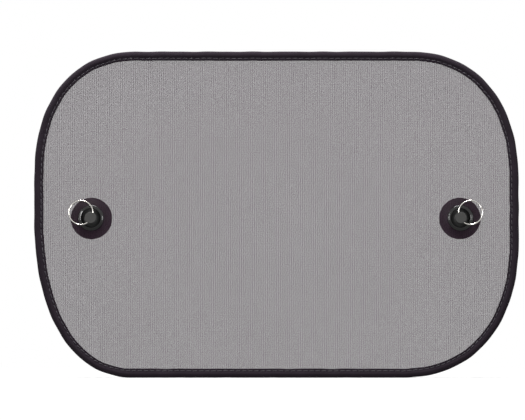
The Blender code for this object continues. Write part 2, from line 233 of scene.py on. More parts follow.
print(f"the top softbox gives {UNDER_TOP:.2f} of white straight below it")
floor_mesh = bpy.data.meshes.new("floor")
shape = bmesh.new()
bmesh.ops.create_grid(shape, x_segments=1, y_segments=1, size=FLOOR_SIZE / 2 * MM)
bmesh.ops.translate(shape, verts=shape.verts, vec=(0.0, 0.0, floor_z * MM))
shape.to_mesh(floor_mesh)
shape.free()
floor_mesh.materials.append(floor_paint())
floor = bpy.data.objects.new("floor", floor_mesh)
bpy.context.collection.objects.link(floor)

# %% [markdown]
# The shade's outline is a rectangle whose corners are quarters of a superellipse, the curve that a
# sprung hoop takes between four pulls. The binding and its stitches follow this one line, so it is
# worked out once, as even steps along the edge with the outward direction at each. A sewn edge is
# never quite true, so a coarse and a fine ripple are laid over it. Each has a whole number of waves
# round the edge, so that the ends meet.

# %% The shade's outer edge
WIDTH = 500.0
HEIGHT = 337.0
CORNERS = [
    (1, 1, 115.0, 136.0),
    (-1, 1, 108.0, 131.0),
    (-1, -1, 106.0, 172.0),
    (1, -1, 124.0, 147.0),
]
CORNER_POWER = 2.3
CORNER_STEPS = 400
COARSE_WAVES = 37
COARSE_RIPPLE = 0.13
SWAY_WAVES = 5
SWAY = 1.1
FINE_WAVES = 61
FINE_RIPPLE = 0.08
FINE_START = 2.0


def edge_line():
    """The closed line of the edge in the XZ plane, anticlockwise seen from the viewer."""
    parts = []
    for index, (side_x, side_z, run_x, run_z) in enumerate(CORNERS):
        angles = np.linspace(0.0, math.pi / 2, CORNER_STEPS)
        if index % 2:
            angles = angles[::-1]
        across = np.cos(angles).clip(0.0) ** (2 / CORNER_POWER)
        up = np.sin(angles).clip(0.0) ** (2 / CORNER_POWER)
        x = side_x * (WIDTH / 2 - run_x + run_x * across)
        z = side_z * (HEIGHT / 2 - run_z + run_z * up)
        parts.append(np.stack([x, z], axis=1))
    return np.concatenate(parts + [parts[0][:1]])


EDGE_LINE = edge_line()
EDGE_ALONG = np.concatenate([[0.0], np.cumsum(np.linalg.norm(np.diff(EDGE_LINE, axis=0), axis=1))])
EDGE_LENGTH = EDGE_ALONG[-1]


def ripple(along):
    """How far the sewn edge strays outwards at a length along it."""
    turn = 2 * math.pi * along / EDGE_LENGTH
    coarse = COARSE_RIPPLE * math.sin(COARSE_WAVES * turn + SWAY * math.sin(SWAY_WAVES * turn))
    return coarse + FINE_RIPPLE * math.sin(FINE_WAVES * turn + FINE_START)


def edge_point(along):
    at = along % EDGE_LENGTH
    return Vector([float(np.interp(at, EDGE_ALONG, EDGE_LINE[:, k])) for k in (0, 1)])


@functools.cache
def edge_station(along):
    """The frame of the edge at a length along it: X runs inwards, Y away and Z forward."""
    ahead = (edge_point(along + 1.0) - edge_point(along - 1.0)).normalized()
    outwards = Vector((ahead.y, -ahead.x))
    place = edge_point(along) + outwards * ripple(along)
    columns = ((-outwards.x, 0, -outwards.y), (0, 1, 0), (ahead.x, 0, ahead.y))
    turned = Matrix(columns).transposed().to_4x4()
    return Matrix.Translation((place.x, 0.0, place.y)) @ turned


print(f"the edge is {EDGE_LENGTH:.0f} mm long")

# %% [markdown]
# The mesh is a warp knit: upright chains of stitches, the wales, held apart by threads that cross
# behind them, the laps. One sheet with a see-through pattern would be quicker, but it has no
# thickness and no real holes. Here every thread is a line of a curve with a bevel, so light really
# passes between them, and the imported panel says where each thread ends. The bevel has four sides
# and is shaded smooth, because rounder threads would take too many faces.

# %% Where the threads run
WALE_PITCH = 0.7467
LAP_PITCH = 0.75
HOLE_RADIUS = 11.1
CUP_CENTRES = []
for side in ("left", "right"):
    low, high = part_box(side + "_eyelet")
    CUP_CENTRES.append(((low + high) / 2 / MM).xz)

panel_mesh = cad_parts["mesh_panel"].data
panel_tree = BVHTree.FromPolygons(
    [v.co for v in panel_mesh.vertices], [tuple(p.vertices) for p in panel_mesh.polygons]
)


def panel_ends(place, upright):
    """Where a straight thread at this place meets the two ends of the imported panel."""
    ends = []
    for side in (-1, 1):
        start = Vector((place, 0.0, side * HEIGHT) if upright else (side * WIDTH, 0.0, place))
        aim = Vector((0, 0, -side)) if upright else Vector((-side, 0, 0))
        hit = panel_tree.ray_cast(start * MM, aim)[0]
        if hit is None:
            return None
        ends.append((hit.z if upright else hit.x) / MM)
    return ends


def thread_runs(place, upright):
    """The stretches of one thread: whole, or in two where it meets a hole for a cup."""
    ends = panel_ends(place, upright)
    if ends is None:
        return []
    stops = [ends[0]]
    for centre in CUP_CENTRES:
        beside, middle = (centre.x, centre.y) if upright else (centre.y, centre.x)
        off = abs(place - beside)
        if off < HOLE_RADIUS:
            half = math.sqrt(HOLE_RADIUS**2 - off**2)
            stops += [middle - half, middle + half]
    stops.append(ends[1])
    return list(zip(stops[::2], stops[1::2]))


# %% [markdown]
# A knitted sheet under tension is never a ruled grid. Slow waves, between 14 and 23 cm long, push
# the threads aside by a fraction of a millimetre, which is what gives the real fabric its faint
# drifting bands when it is seen from a step away. A wave's numbers are millimetres a radian, and
# its sway is in radians. Every third wale is knitted with a heavier yarn, so the sheet reads as
# fine upright lines a little over two millimetres apart, and the laps vary a little in thickness.

# %% Threads of the mesh
WALE_RADIUS = 0.186
HEAVY_WALE = 3
HEAVY_SHARES = (1.26, 0.87, 0.87)
LAP_RADIUS = 0.165
LAP_UNEVEN = 0.06
LAP_BEAT = 2.4
LAP_SWAY = 3.0
LAP_SWAY_BEAT = 0.21
WAVE_SIZE = 0.14
SECOND_WAVE = 0.6
ACROSS_WAVES = {"length": 31.0, "sway": 0.8, "sways_in": 57.0, "second": 23.0, "slant": 71.0}
UP_WAVES = {"length": 37.0, "sway": 0.9, "sways_in": 49.0, "second": 27.0, "slant": -83.0}
THREAD_STEP = 20.0


def slow_waves(ahead, beside, waves):
    """A wave along one direction that sways with the other, and a smaller slanting one."""
    sway = waves["sway"] * math.sin(beside / waves["sways_in"])
    first = math.sin(ahead / waves["length"] + sway)
    second = math.sin(beside / waves["second"] + ahead / waves["slant"])
    return WAVE_SIZE * (first + SECOND_WAVE * second)


def drift(x, z):
    """How far the knit is pulled aside at a place, across and up."""
    return slow_waves(z, x, ACROSS_WAVES), slow_waves(x, z, UP_WAVES)


def add_thread(curve, place, run, upright, depth, thickness):
    steps = max(2, round((run[1] - run[0]) / THREAD_STEP))
    line = curve.splines.new("POLY")
    line.points.add(steps)
    for step, point in enumerate(line.points):
        at = run[0] + (run[1] - run[0]) * step / steps
        x, z = (place, at) if upright else (at, place)
        across, up = drift(x, z)
        point.co = ((x + across) * MM, depth * MM, (z + up) * MM, 1.0)
        point.radius = thickness


def knit_curve():
    curve = bpy.data.curves.new("knitted_mesh", "CURVE")
    curve.dimensions = "3D"
    curve.bevel_depth = WALE_RADIUS * MM
    curve.bevel_resolution = 0
    curve.use_fill_caps = True
    wales = int(WIDTH / 2 / WALE_PITCH)
    laps = int(HEIGHT / 2 / LAP_PITCH)
    for k in range(-wales, wales + 1):
        for run in thread_runs(k * WALE_PITCH, True):
            add_thread(curve, k * WALE_PITCH, run, True, -WALE_RADIUS, HEAVY_SHARES[k % HEAVY_WALE])
    for k in range(-laps, laps + 1):
        for run in thread_runs(k * LAP_PITCH, False):
            beat = math.sin(LAP_BEAT * k + LAP_SWAY * math.sin(LAP_SWAY_BEAT * k))
            thickness = (1.0 + LAP_UNEVEN * beat) * LAP_RADIUS / WALE_RADIUS
            add_thread(curve, k * LAP_PITCH, run, False, LAP_RADIUS, thickness)
    return curve


def object_from_curve(curve, name):
    """A curve as a mesh object, and the curve is removed."""
    holder = bpy.data.objects.new(name + "_curve", curve)
    mesh = bpy.data.meshes.new_from_object(holder)
    mesh.name = name
    bpy.data.objects.remove(holder)
    bpy.data.curves.remove(curve)
    mesh.shade_smooth()
    made = bpy.data.objects.new(name, mesh)
    bpy.context.collection.objects.link(made)
    return made


knit = object_from_curve(knit_curve(), "knitted_mesh")
print(f"the mesh has {len(knit.data.polygons) * 2} triangles")


# %% [markdown]
# Textured polyester yarn is a bundle of fine crimped filaments. It is dull, a little fuzzy at
# grazing light, which the sheen gives, and dyed dark. Light from behind also soaks through it, and
# takes the dye's purple on the way, so about a quarter of the shader is Translucent: the knit
# glows in front of a white wall and is darker in front of the black cups. The stitches of each
# chain are small swellings in the bump.

# %% Knitted polyester yarn
WAVE_PERIOD = math.pi / 10
YARN_GLOW = "#e3bddc"
YARN_CLEAR = 0.27


def knitted_polyester():
    material, tree = new_material("knitted_polyester_yarn")
    place = add_node(tree, "ShaderNodeTexCoord").outputs["Object"]
    stitches = add_node(
        tree,
        "ShaderNodeTexWave",
        {"Vector": place, "Scale": WAVE_PERIOD / (LAP_PITCH * MM), "Distortion": 0.6},
        wave_type="BANDS",
        bands_direction="Z",
    )
    filaments = add_node(tree, "ShaderNodeTexNoise", {"Vector": place, "Scale": 1 / (0.25 * MM)})
    patches = add_node(tree, "ShaderNodeTexNoise", {"Vector": place, "Scale": 1 / (40.0 * MM)})
    colours = {FIRST_COLOUR: linear("#1a181a"), SECOND_COLOUR: linear("#211e20")}
    dye = add_node(
        tree, "ShaderNodeMix", {"Factor": patches.outputs[0], **colours}, data_type="RGBA"
    )
    height = add_node(
        tree,
        "ShaderNodeMath",
        {0: stitches.outputs["Fac"], 1: filaments.outputs[0]},
        operation="ADD",
    )
    bump = add_node(
        tree, "ShaderNodeBump", {"Height": height.outputs[0], "Strength": 0.6, "Distance": 0.1 * MM}
    )
    shader = add_node(
        tree,
        "ShaderNodeBsdfPrincipled",
        {
            "Base Color": dye.outputs[MIXED_COLOUR],
            "Roughness": 0.85,
            "Specular IOR Level": 0.05,
            "Sheen Weight": 0.1,
            "Sheen Roughness": 0.5,
            "Normal": bump.outputs[0],
        },
    )
    through = add_node(tree, "ShaderNodeBsdfTranslucent", {"Color": linear(YARN_GLOW)})
    yarn = add_node(
        tree, "ShaderNodeMixShader", {0: YARN_CLEAR, 1: shader.outputs[0], 2: through.outputs[0]}
    )
    add_node(tree, "ShaderNodeOutputMaterial", {"Surface": yarn.outputs[0]})
    return material


knit.data.materials.append(knitted_polyester())
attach(knit, "shade")
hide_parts("mesh_panel")

# %% [markdown]
# The binding is a woven tape about 22 mm wide. It is folded over the steel hoop and sewn down at
# its inner edge, so it rounds over from the fold to a wide soft crown and only lies flat along the
# seam. It could be a curve with a bevel, but then every cross-section would be alike. Here one
# closed section is extruded round the edge in steps shorter than a stitch, so that the surface
# can dip at each stitch and crease beside it. The flap's rise says how far it lies above or below
# the height of a flat hem, at some distances from the outer edge and from the flap's end back
# towards the fold.

# %% The section of the folded tape
TAPE_THICKNESS = 0.65
BINDING_WIDTH = 9.4
NOSE_RADIUS = 2.45
CHANNEL_RADIUS = 1.8
SLOT_HALF = 0.95
HEM_HALF = SLOT_HALF + TAPE_THICKNESS
FLAP_EDGE_ROUND = 0.3
CROWN_U = 4.4
CROWN_POINTS = 11
SLOT_POINT = 7.0
STITCH_LINE = 7.3
STITCH_SINK = 0.14
FLAP_RISE = [(8.2, -0.02), (7.7, -0.06), (STITCH_LINE, -0.08), (6.9, -0.02)]
FLAP_RISE += [(6.4, 0.14), (5.8, 0.4), (5.1, 0.69)]


def arc(centre, radius, first, last, steps):
    """Points of a round stretch of a section, by angle in degrees."""
    angles = np.radians(np.linspace(first, last, steps + 1))
    return [(centre[0] + radius * math.cos(a), centre[1] + radius * math.sin(a)) for a in angles]


def tape_section():
    """Half of the section, from the flap's inner face round its edge and over the bead, then the
    other half as its mirror image, and back along the channel of the wire."""
    edge = BINDING_WIDTH - FLAP_EDGE_ROUND
    outside = arc((edge, SLOT_HALF + FLAP_EDGE_ROUND), FLAP_EDGE_ROUND, -90, 0, 2)
    outside += arc((edge, HEM_HALF - FLAP_EDGE_ROUND), FLAP_EDGE_ROUND, 0, 90, 2)
    outside += [(u, HEM_HALF + rise) for u, rise in FLAP_RISE]
    for angle in np.radians(np.linspace(90, 180, CROWN_POINTS)):
        outside.append((CROWN_U + CROWN_U * math.cos(angle), NOSE_RADIUS * math.sin(angle)))
    throat = math.sqrt(CHANNEL_RADIUS**2 - SLOT_HALF**2)
    inside = [(SLOT_POINT, SLOT_HALF), (NOSE_RADIUS + throat, SLOT_HALF)]
    inside += arc((NOSE_RADIUS, 0.0), CHANNEL_RADIUS, 60, 180, 4)
    front = [(u, -v) for u, v in reversed(outside[:-1])]
    hollow = [(u, -v) for u, v in inside[:-1]] + list(reversed(inside))
    return outside + front + hollow


SECTION = tape_section()
print(f"the tape's section has {len(SECTION)} points")


# %% [markdown]
# The extrusion starts from the section's few points. Each step extrudes the newest ring of edges
# and moves the copy from one place of the edge to the next with a single matrix. One long
# extrusion would grow slower with every step, so each stitch's stretch of tape is extruded alone,
# and the stretches are merged into one band at the end. The length along the tape and the length
# across it are stored on the way as a map, so that the weave follows the tape round the corners.

# %% Sweep along the edge
def section_ring(shape, section, at):
    """The section's points and edges at one place of the edge."""
    across = shape.verts.layers.float["across"]
    along = shape.verts.layers.float["along"]
    station = edge_station(at)
    ring = []
    reach = 0.0
    for index, (u, v) in enumerate(section):
        if index:
            reach += math.dist(section[index - 1], (u, v))
        vert = shape.verts.new(station @ Vector((u, v, 0.0)))
        vert[across] = reach
        vert[along] = at
        ring.append(vert)
    return [shape.edges.new(pair) for pair in zip(ring, ring[1:] + ring[:1])]


def sweep_stretch(section, places):
    """The section carried from the first of some places of the edge to the last."""
    shape = bmesh.new()
    shape.verts.layers.float.new("across")
    along = shape.verts.layers.float.new("along")
    edges = section_ring(shape, section, places[0])
    for before, at in zip(places, places[1:]):
        grown = bmesh.ops.extrude_edge_only(shape, edges=edges)["geom"]
        verts = [item for item in grown if isinstance(item, bmesh.types.BMVert)]
        edges = [item for item in grown if isinstance(item, bmesh.types.BMEdge)]
        step = edge_station(at) @ edge_station(before).inverted()
        bmesh.ops.transform(shape, matrix=step, verts=verts)
        for vert in verts:
            vert[along] = at
    return shape


def map_faces(shape):
    """Writes the stored lengths to a UV map in metres, before the stretches are merged."""
    across = shape.verts.layers.float["across"]
    along = shape.verts.layers.float["along"]
    uv = shape.loops.layers.uv.new("tape")
    for face in shape.faces:
        for loop in face.loops:
            loop[uv].uv = (loop.vert[along] * MM, loop.vert[across] * MM)


# %% [markdown]
# A lockstitch pulls the tape down at each needle hole and lets it rise between two holes. Beside
# the stitches the tape puckers in small slanting creases, which fade out on the tight bead.

# %% Pucker the tape
STITCH_PITCH = 6.3
STITCHES = round(EDGE_LENGTH / STITCH_PITCH)
STEPS_PER_STITCH = 6
PUCKER_FROM = SLOT_HALF + 0.35
STITCH_REACH = 0.9
CREASE_LINE = 5.0
CREASE_REACH = 1.8
CREASE_SIZE = 0.06
CREASE_SLANT = 2.2
CREASE_SWELL = 7
MERGE_WITHIN = 0.001


def pucker(u, along):
    """How far the tape's face sinks at a place of the section."""
    phase = 2 * math.pi * along * STITCHES / EDGE_LENGTH
    near_stitch = math.exp(-(((u - STITCH_LINE) / STITCH_REACH) ** 2))
    dip = STITCH_SINK * near_stitch * (0.5 + 0.5 * math.cos(phase))
    on_flap = math.exp(-(((u - CREASE_LINE) / CREASE_REACH) ** 2))
    slanting = math.sin(phase + CREASE_SLANT * u)
    crease = CREASE_SIZE * on_flap * slanting * (1 + math.sin(phase / CREASE_SWELL))
    return dip + crease


def pucker_stretch(shape):
    """Sinks the outside of both flaps by the pucker at each point."""
    along = shape.verts.layers.float["along"]
    for vert in shape.verts:
        if abs(vert.co.y) > PUCKER_FROM:
            place = edge_station(vert[along]).inverted() @ vert.co
            vert.co.y -= math.copysign(pucker(place.x, vert[along]), vert.co.y)


def build_tape():
    shape = bmesh.new()
    stretch_mesh = bpy.data.meshes.new("stretch")
    for stitch in range(STITCHES):
        steps = [(stitch + k / STEPS_PER_STITCH) / STITCHES for k in range(STEPS_PER_STITCH + 1)]
        stretch = sweep_stretch(SECTION, [EDGE_LENGTH * step for step in steps])
        map_faces(stretch)
        pucker_stretch(stretch)
        stretch.to_mesh(stretch_mesh)
        stretch.free()
        shape.from_mesh(stretch_mesh)
    bpy.data.meshes.remove(stretch_mesh)
    bmesh.ops.remove_doubles(shape, verts=shape.verts, dist=MERGE_WITHIN)
    bmesh.ops.recalc_face_normals(shape, faces=shape.faces)
    bmesh.ops.scale(shape, vec=(MM, MM, MM), verts=shape.verts)
    mesh = bpy.data.meshes.new("binding_tape")
    shape.to_mesh(mesh)
    shape.free()
    mesh.shade_smooth()
    made = bpy.data.objects.new("binding_tape", mesh)
    bpy.context.collection.objects.link(made)
    return made


tape = build_tape()
print(f"the tape has {len(tape.data.polygons) * 2} triangles")


# %% [markdown]
# The tape is a plain weave of spun-dyed polyester. Its threads are about 0.45 mm apart, and twice
# that is drawn, so that the weave still shows at this picture's size. The map runs in metres, so a
# sine of each length gives a chequer of raised threads.

# %% Woven polyester tape
WEAVE_PITCH = 0.9


def woven_tape():
    material, tree = new_material("woven_polyester_tape")
    lengths = add_node(tree, "ShaderNodeUVMap", uv_map="tape").outputs[0]
    split = add_node(tree, "ShaderNodeSeparateXYZ", {0: lengths})
    waves = []
    for axis in ("X", "Y"):
        scaled = add_node(
            tree,
            "ShaderNodeMath",
            {0: split.outputs[axis], 1: math.pi / (WEAVE_PITCH * MM)},
            operation="MULTIPLY",
        )
        waves.append(add_node(tree, "ShaderNodeMath", {0: scaled.outputs[0]}, operation="SINE"))
    weave = add_node(
        tree,
        "ShaderNodeMath",
        {0: waves[0].outputs[0], 1: waves[1].outputs[0]},
        operation="MULTIPLY",
    )
    place = add_node(tree, "ShaderNodeTexCoord").outputs["Object"]
    fuzz = add_node(tree, "ShaderNodeTexNoise", {"Vector": place, "Scale": 1 / (0.3 * MM)})
    patches = add_node(tree, "ShaderNodeTexNoise", {"Vector": place, "Scale": 1 / (18.0 * MM)})
    light = add_node(
        tree,
        "ShaderNodeMath",
        {0: weave.outputs[0], 1: 0.25, 2: patches.outputs[0]},
        operation="MULTIPLY_ADD",
    )
    colours = {FIRST_COLOUR: linear("#1d181d"), SECOND_COLOUR: linear("#29222a")}
    dye = add_node(
        tree, "ShaderNodeMix", {"Factor": light.outputs[0], **colours}, data_type="RGBA"
    )
    height = add_node(
        tree,
        "ShaderNodeMath",
        {0: fuzz.outputs[0], 1: 0.6, 2: weave.outputs[0]},
        operation="MULTIPLY_ADD",
    )
    bump = add_node(
        tree,
        "ShaderNodeBump",
        {"Height": height.outputs[0], "Strength": 0.7, "Distance": 0.08 * MM},
    )
    shader = add_node(
        tree,
        "ShaderNodeBsdfPrincipled",
        {
            "Base Color": dye.outputs[MIXED_COLOUR],
            "Roughness": 0.9,
            "Specular IOR Level": 0.05,
            "Sheen Weight": 0.2,
            "Sheen Roughness": 0.4,
            "Normal": bump.outputs[0],
        },
    )
    add_node(tree, "ShaderNodeOutputMaterial", {"Surface": shader.outputs[0]})
    return material


tape.data.materials.append(woven_tape())
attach(tape, "shade")
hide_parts("edge_binding")

# %% [markdown]
# The seam is one row of lockstitch on each face. A stitch is a short bow of thread that comes up
# at one needle hole, lies on the tape and goes down at the next. Each is a line of five points in
# one curve with a round bevel. The thread is drawn 0.6 mm thick, and a real one has about 0.4 mm.
# A stitch's shape is the share of its length and the rise above the tape at each point.

# %% Sewing thread
THREAD_RADIUS = 0.3
STITCH_LENGTH = 4.7
STITCH_SHAPE = [(0.0, -0.35), (0.14, 0.1), (0.5, 0.17), (0.86, 0.1), (1.0, -0.35)]
STITCH_SLANT = 0.35


def stitch_curve():
    curve = bpy.data.curves.new("sewing_thread", "CURVE")
    curve.dimensions = "3D"
    curve.bevel_depth = THREAD_RADIUS * MM
    curve.bevel_resolution = 1
    curve.use_fill_caps = True
    for face in (-1, 1):
        for k in range(STITCHES):
            middle = EDGE_LENGTH * (k + 0.5) / STITCHES
            line = curve.splines.new("POLY")
            line.points.add(len(STITCH_SHAPE) - 1)
            for point, (share, rise) in zip(line.points, STITCH_SHAPE):
                along = middle + (share - 0.5) * STITCH_LENGTH
                u = STITCH_LINE + (share - 0.5) * STITCH_SLANT
                v = face * (HEM_HALF - pucker(u, along) + rise)
                place = edge_station(along) @ Vector((u, v, 0.0))
                point.co = (*(place * MM), 1.0)
    return curve


stitches = object_from_curve(stitch_curve(), "sewing_thread")
print(f"{2 * STITCHES} stitches, {len(stitches.data.polygons) * 2} triangles")


# %% [markdown]
# Polyester sewing thread is two twisted strands with a slight gloss, so it stands out from the dull
# tape even though it is dyed to match. The twist is a slanting wave across the thread.

# %% Twisted sewing thread
TWIST_PITCH = 0.8


def twisted_thread():
    material, tree = new_material("twisted_polyester_thread")
    place = add_node(tree, "ShaderNodeTexCoord").outputs["Object"]
    twist = add_node(
        tree,
        "ShaderNodeTexWave",
        {"Vector": place, "Scale": WAVE_PERIOD / (TWIST_PITCH * MM), "Distortion": 0.3},
        wave_type="BANDS",
        bands_direction="DIAGONAL",
    )
    colours = {FIRST_COLOUR: linear("#2d2a2e"), SECOND_COLOUR: linear("#433f47")}
    dye = add_node(
        tree, "ShaderNodeMix", {"Factor": twist.outputs["Fac"], **colours}, data_type="RGBA"
    )
    bump = add_node(
        tree,
        "ShaderNodeBump",
        {"Height": twist.outputs["Fac"], "Strength": 0.6, "Distance": 0.08 * MM},
    )
    shader = add_node(
        tree,
        "ShaderNodeBsdfPrincipled",
        {
            "Base Color": dye.outputs[MIXED_COLOUR],
            "Roughness": 0.5,
            "Specular IOR Level": 0.4,
            "Sheen Weight": 0.1,
            "Normal": bump.outputs[0],
        },
    )
    add_node(tree, "ShaderNodeOutputMaterial", {"Surface": shader.outputs[0]})
    return material


stitches.data.materials.append(twisted_thread())
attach(stitches, "shade")

# %% [markdown]
# The eyelets, cups and rings are small and round. Turned pieces start as a few points of their
# section that bmesh spins about the cup's axis. Ninety-six steps keep their edges round in any
# view, and use_merge closes the last step on to the first.

# %% Turn a profile
TURN_STEPS = 96
SAME_POINT = 0.0005
SHARP_ANGLE = math.radians(40.0)


def turned_shape(profile, closed):
    """A section of (radius, y) turned about the Y axis."""
    shape = bmesh.new()
    verts = [shape.verts.new(Vector((radius, y, 0.0))) for radius, y in profile]
    edges = [shape.edges.new(pair) for pair in zip(verts, verts[1:])]
    if closed:
        edges.append(shape.edges.new((verts[-1], verts[0])))
    bmesh.ops.spin(
        shape,
        geom=verts + edges,
        cent=(0, 0, 0),
        axis=(0, 1, 0),
        angle=2 * math.pi,
        steps=TURN_STEPS,
        use_merge=True,
    )
    bmesh.ops.remove_doubles(shape, verts=shape.verts, dist=SAME_POINT)
    bmesh.ops.recalc_face_normals(shape, faces=shape.faces)
    return shape


def piece_from(shape, name, centre):
    """A finished object whose place is in its mesh."""
    bmesh.ops.translate(shape, verts=shape.verts, vec=(centre.x, 0.0, centre.y))
    bmesh.ops.scale(shape, vec=(MM, MM, MM), verts=shape.verts)
    mesh = bpy.data.meshes.new(name)
    shape.to_mesh(mesh)
    shape.free()
    mesh.shade_smooth()
    mesh.set_sharp_from_angle(angle=SHARP_ANGLE)
    made = bpy.data.objects.new(name, mesh)
    bpy.context.collection.objects.link(made)
    return made


# %% [markdown]
# The eyelet is a moulded ring that snaps round the hole in the mesh and stops the knit from
# fraying. Each face rises from the bore to a narrow crest, slopes down outwards and ends in a thin
# flange, and the groove between the two faces holds the mesh. The slope is what mirrors the
# softboxes, so it bulges only a little.

# %% Eyelets
BORE_RADIUS = 9.7
LIP_WALL = 1.0
FLANGE_RADIUS = 13.2
FLANGE_ROUND = 0.1
RIM_CHAMFER = [(13.18, 1.2), (13.14, 1.26), (12.9, 1.5), (12.84, 1.53)]
EYELET_FACE = [(12.1, 1.55), (12.0, 1.6), (11.9, 1.645), (11.35, 1.89), (10.95, 2.045)]
EYELET_FACE += [(10.8, 2.1), (10.65, 2.14), (10.45, 2.16), (10.2, 2.14)]
BORE_EDGE = [(10.1, 2.1), (9.8, 1.8), (9.74, 1.72), (9.7, 1.6)]


def eyelet_profile():
    edge = FLANGE_RADIUS - FLANGE_ROUND
    half = [(BORE_RADIUS + LIP_WALL, SLOT_HALF)]
    half += arc((edge, SLOT_HALF + FLANGE_ROUND), FLANGE_ROUND, -90, 0, 3)
    half += RIM_CHAMFER + EYELET_FACE + BORE_EDGE
    return half + [(radius, -y) for radius, y in reversed(half)]


# %% [markdown]
# Injection-moulded ABS takes the polish of its mould: a glossy surface with small bright
# highlights. A noise of a quarter of a millimetre is the faint grain that the mould leaves, and
# it varies the roughness a little.

# %% Moulded ABS
def moulded_abs():
    material, tree = new_material("moulded_black_abs")
    place = add_node(tree, "ShaderNodeTexCoord").outputs["Object"]
    grain = add_node(tree, "ShaderNodeTexNoise", {"Vector": place, "Scale": 1 / (0.25 * MM)})
    rough = add_node(
        tree,
        "ShaderNodeMapRange",
        {"Value": grain.outputs[0], "To Min": 0.08, "To Max": 0.14},
    )
    colours = {FIRST_COLOUR: linear("#0d0d0d"), SECOND_COLOUR: linear("#161616")}
    shade = add_node(
        tree, "ShaderNodeMix", {"Factor": grain.outputs[0], **colours}, data_type="RGBA"
    )
    bump = add_node(
        tree,
        "ShaderNodeBump",
        {"Height": grain.outputs[0], "Strength": 0.12, "Distance": 0.01 * MM},
    )
    shader = add_node(
        tree,
        "ShaderNodeBsdfPrincipled",
        {
            "Base Color": shade.outputs[MIXED_COLOUR],
            "Roughness": rough.outputs[0],
            "Specular IOR Level": 0.45,
            "Normal": bump.outputs[0],
        },
    )
    add_node(tree, "ShaderNodeOutputMaterial", {"Surface": shader.outputs[0]})
    return material


abs_plastic = moulded_abs()
SIDES = {"left": -1, "right": 1}
for side, centre in zip(SIDES, CUP_CENTRES):
    eyelet = piece_from(turned_shape(eyelet_profile(), True), side + "_lining_ring", centre)
    eyelet.data.materials.append(abs_plastic)
    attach(eyelet, "shade")
    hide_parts(side + "_eyelet")
    print(f"{eyelet.name}: {len(eyelet.data.polygons)} faces")

# %% [markdown]
# A suction cup is one moulding of soft vinyl: a knob that comes forward through the eyelet, a
# short neck, and a dish whose thin rim meets the glass. The dish's outside is a gentle cone that
# bends a little towards the rim, and its hollow is a bowl. The profile goes from the middle of
# the knob round the rim to the middle of the hollow. The neck's points are measured from its
# radius and from its two ends.

# %% Suction cups
KNOB_RADIUS = 5.85
KNOB_ROUND = 0.3
KNOB_FACE_EDGE = 0.6
SHOULDER_BACK = -1.515
SHOULDER_ROUND = 0.5
SHOULDER_LIFT = 0.1
NECK_RADIUS = 4.3
NECK_BACK = -0.915
NECK_TOP = [(0.15, -0.05), (0.0, 0.15)]
NECK_FLARE = [(0.05, 0.0), (0.5, 0.35), (1.2, 0.66)]
CROWN_RADIUS = 9.7
CROWN_PLACE = 2.45
CROWN_RISE = 2.2
CROWN_BEND = (7.6, 1.45)
DISH_RADIUS = 21.5
DISH_BEND = 0.1
DISH_POINTS = 10
RIM_WIDTH = 1.3
RIM_ROUND = 0.22
HOLLOW_WALL = 1.8
HOLLOW_POWER = 1.9
HOLLOW_POINTS = 14
RING_PLACE = -3.8
RING_LEAN = math.radians(61.4)
HOLE_RADIUS_IN_KNOB = 2.285
knob_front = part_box("left_suction_cup")[0].y / MM
rim_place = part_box("left_suction_cup")[1].y / MM


def cup_profile():
    front = [(0.0, knob_front), (KNOB_RADIUS - KNOB_ROUND - KNOB_FACE_EDGE, knob_front)]
    front += arc((KNOB_RADIUS - KNOB_ROUND, knob_front + KNOB_ROUND), KNOB_ROUND, -90, 0, 6)
    shoulder = (KNOB_RADIUS - SHOULDER_ROUND, SHOULDER_BACK - SHOULDER_LIFT)
    front += arc(shoulder, SHOULDER_ROUND, 0, 60, 3)
    front += [(NECK_RADIUS + out, NECK_BACK + back) for out, back in NECK_TOP]
    crown_start = CROWN_PLACE - CROWN_RISE
    front += [(NECK_RADIUS + out, crown_start + back) for out, back in NECK_FLARE]
    front.append((CROWN_BEND[0], crown_start + CROWN_BEND[1]))
    drop = rim_place - CROWN_PLACE
    for share in np.linspace(0.0, 1.0, DISH_POINTS)[:-1]:
        radius = CROWN_RADIUS + (DISH_RADIUS - CROWN_RADIUS) * share
        bend = 1 - DISH_BEND + DISH_BEND * share
        front.append((radius, CROWN_PLACE + drop * share * bend))
    front += arc((DISH_RADIUS - RIM_ROUND, rim_place - RIM_ROUND), RIM_ROUND, -45, 90, 4)
    hollow_place = CROWN_PLACE + HOLLOW_WALL
    inner = DISH_RADIUS - RIM_WIDTH
    depth = rim_place - hollow_place
    shares = np.linspace(1.0, 0.0, HOLLOW_POINTS)
    hollow = [(inner * share, hollow_place + depth * share**HOLLOW_POWER) for share in shares]
    return front + hollow


def knob_hole(side):
    """A cylinder along the hole through the knob."""
    lean = Vector((math.cos(RING_LEAN), 0.0, -SIDES[side] * math.sin(RING_LEAN)))
    leaning = lean.to_track_quat("Z", "Y").to_matrix().to_4x4()
    shape = bmesh.new()
    bmesh.ops.create_cone(
        shape,
        cap_ends=True,
        segments=TURN_STEPS // 2,
        radius1=HOLE_RADIUS_IN_KNOB,
        radius2=HOLE_RADIUS_IN_KNOB,
        depth=3 * KNOB_RADIUS,
        matrix=Matrix.Translation((0.0, RING_PLACE, 0.0)) @ leaning,
    )
    return shape


def cut_with(obj, cutter):
    """Cuts one object out of another for good."""
    step = obj.modifiers.new("cut", "BOOLEAN")
    step.operation = "DIFFERENCE"
    step.solver = "EXACT"
    step.object = cutter
    held = obj.evaluated_get(bpy.context.evaluated_depsgraph_get())
    mesh = bpy.data.meshes.new_from_object(held)
    obj.modifiers.clear()
    obj.data = mesh
    bpy.data.objects.remove(cutter)


